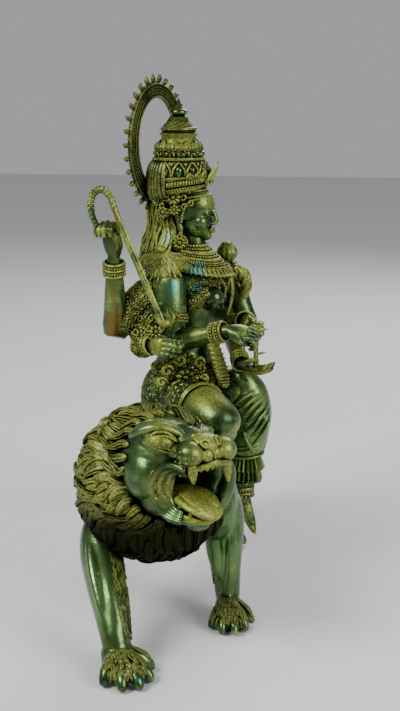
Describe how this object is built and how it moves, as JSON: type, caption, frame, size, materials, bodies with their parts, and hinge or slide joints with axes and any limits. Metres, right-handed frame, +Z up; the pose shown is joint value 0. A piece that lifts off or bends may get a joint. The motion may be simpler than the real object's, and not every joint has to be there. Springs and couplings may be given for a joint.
{
  "type": "durga figure",
  "caption": "Bronze statue of a crowned, many-armed goddess seated sideways on a striding, roaring lion, with a leaf-edged halo.",
  "frame": {"origin": "middle of the footprint, at the level that the paws stand on", "axes": "+Z up; the lion faces -Y, and the goddess sits sideways facing +X, the lion's left side"},
  "size_m": [0.1896, 0.4756, 0.5666],
  "materials": {
    "bronze_green": "polished deep green patina, dark in the recesses",
    "bronze_ochre": "ochre and green patina, dark in the recesses",
    "bronze_dark": "dark brown patina with ochre edges"
  },
  "bodies": {
    "root": {"lion": "bronze_green", "durga_figure": "bronze_ochre", "halo": "bronze_dark"}
  },
  "joints": []
}
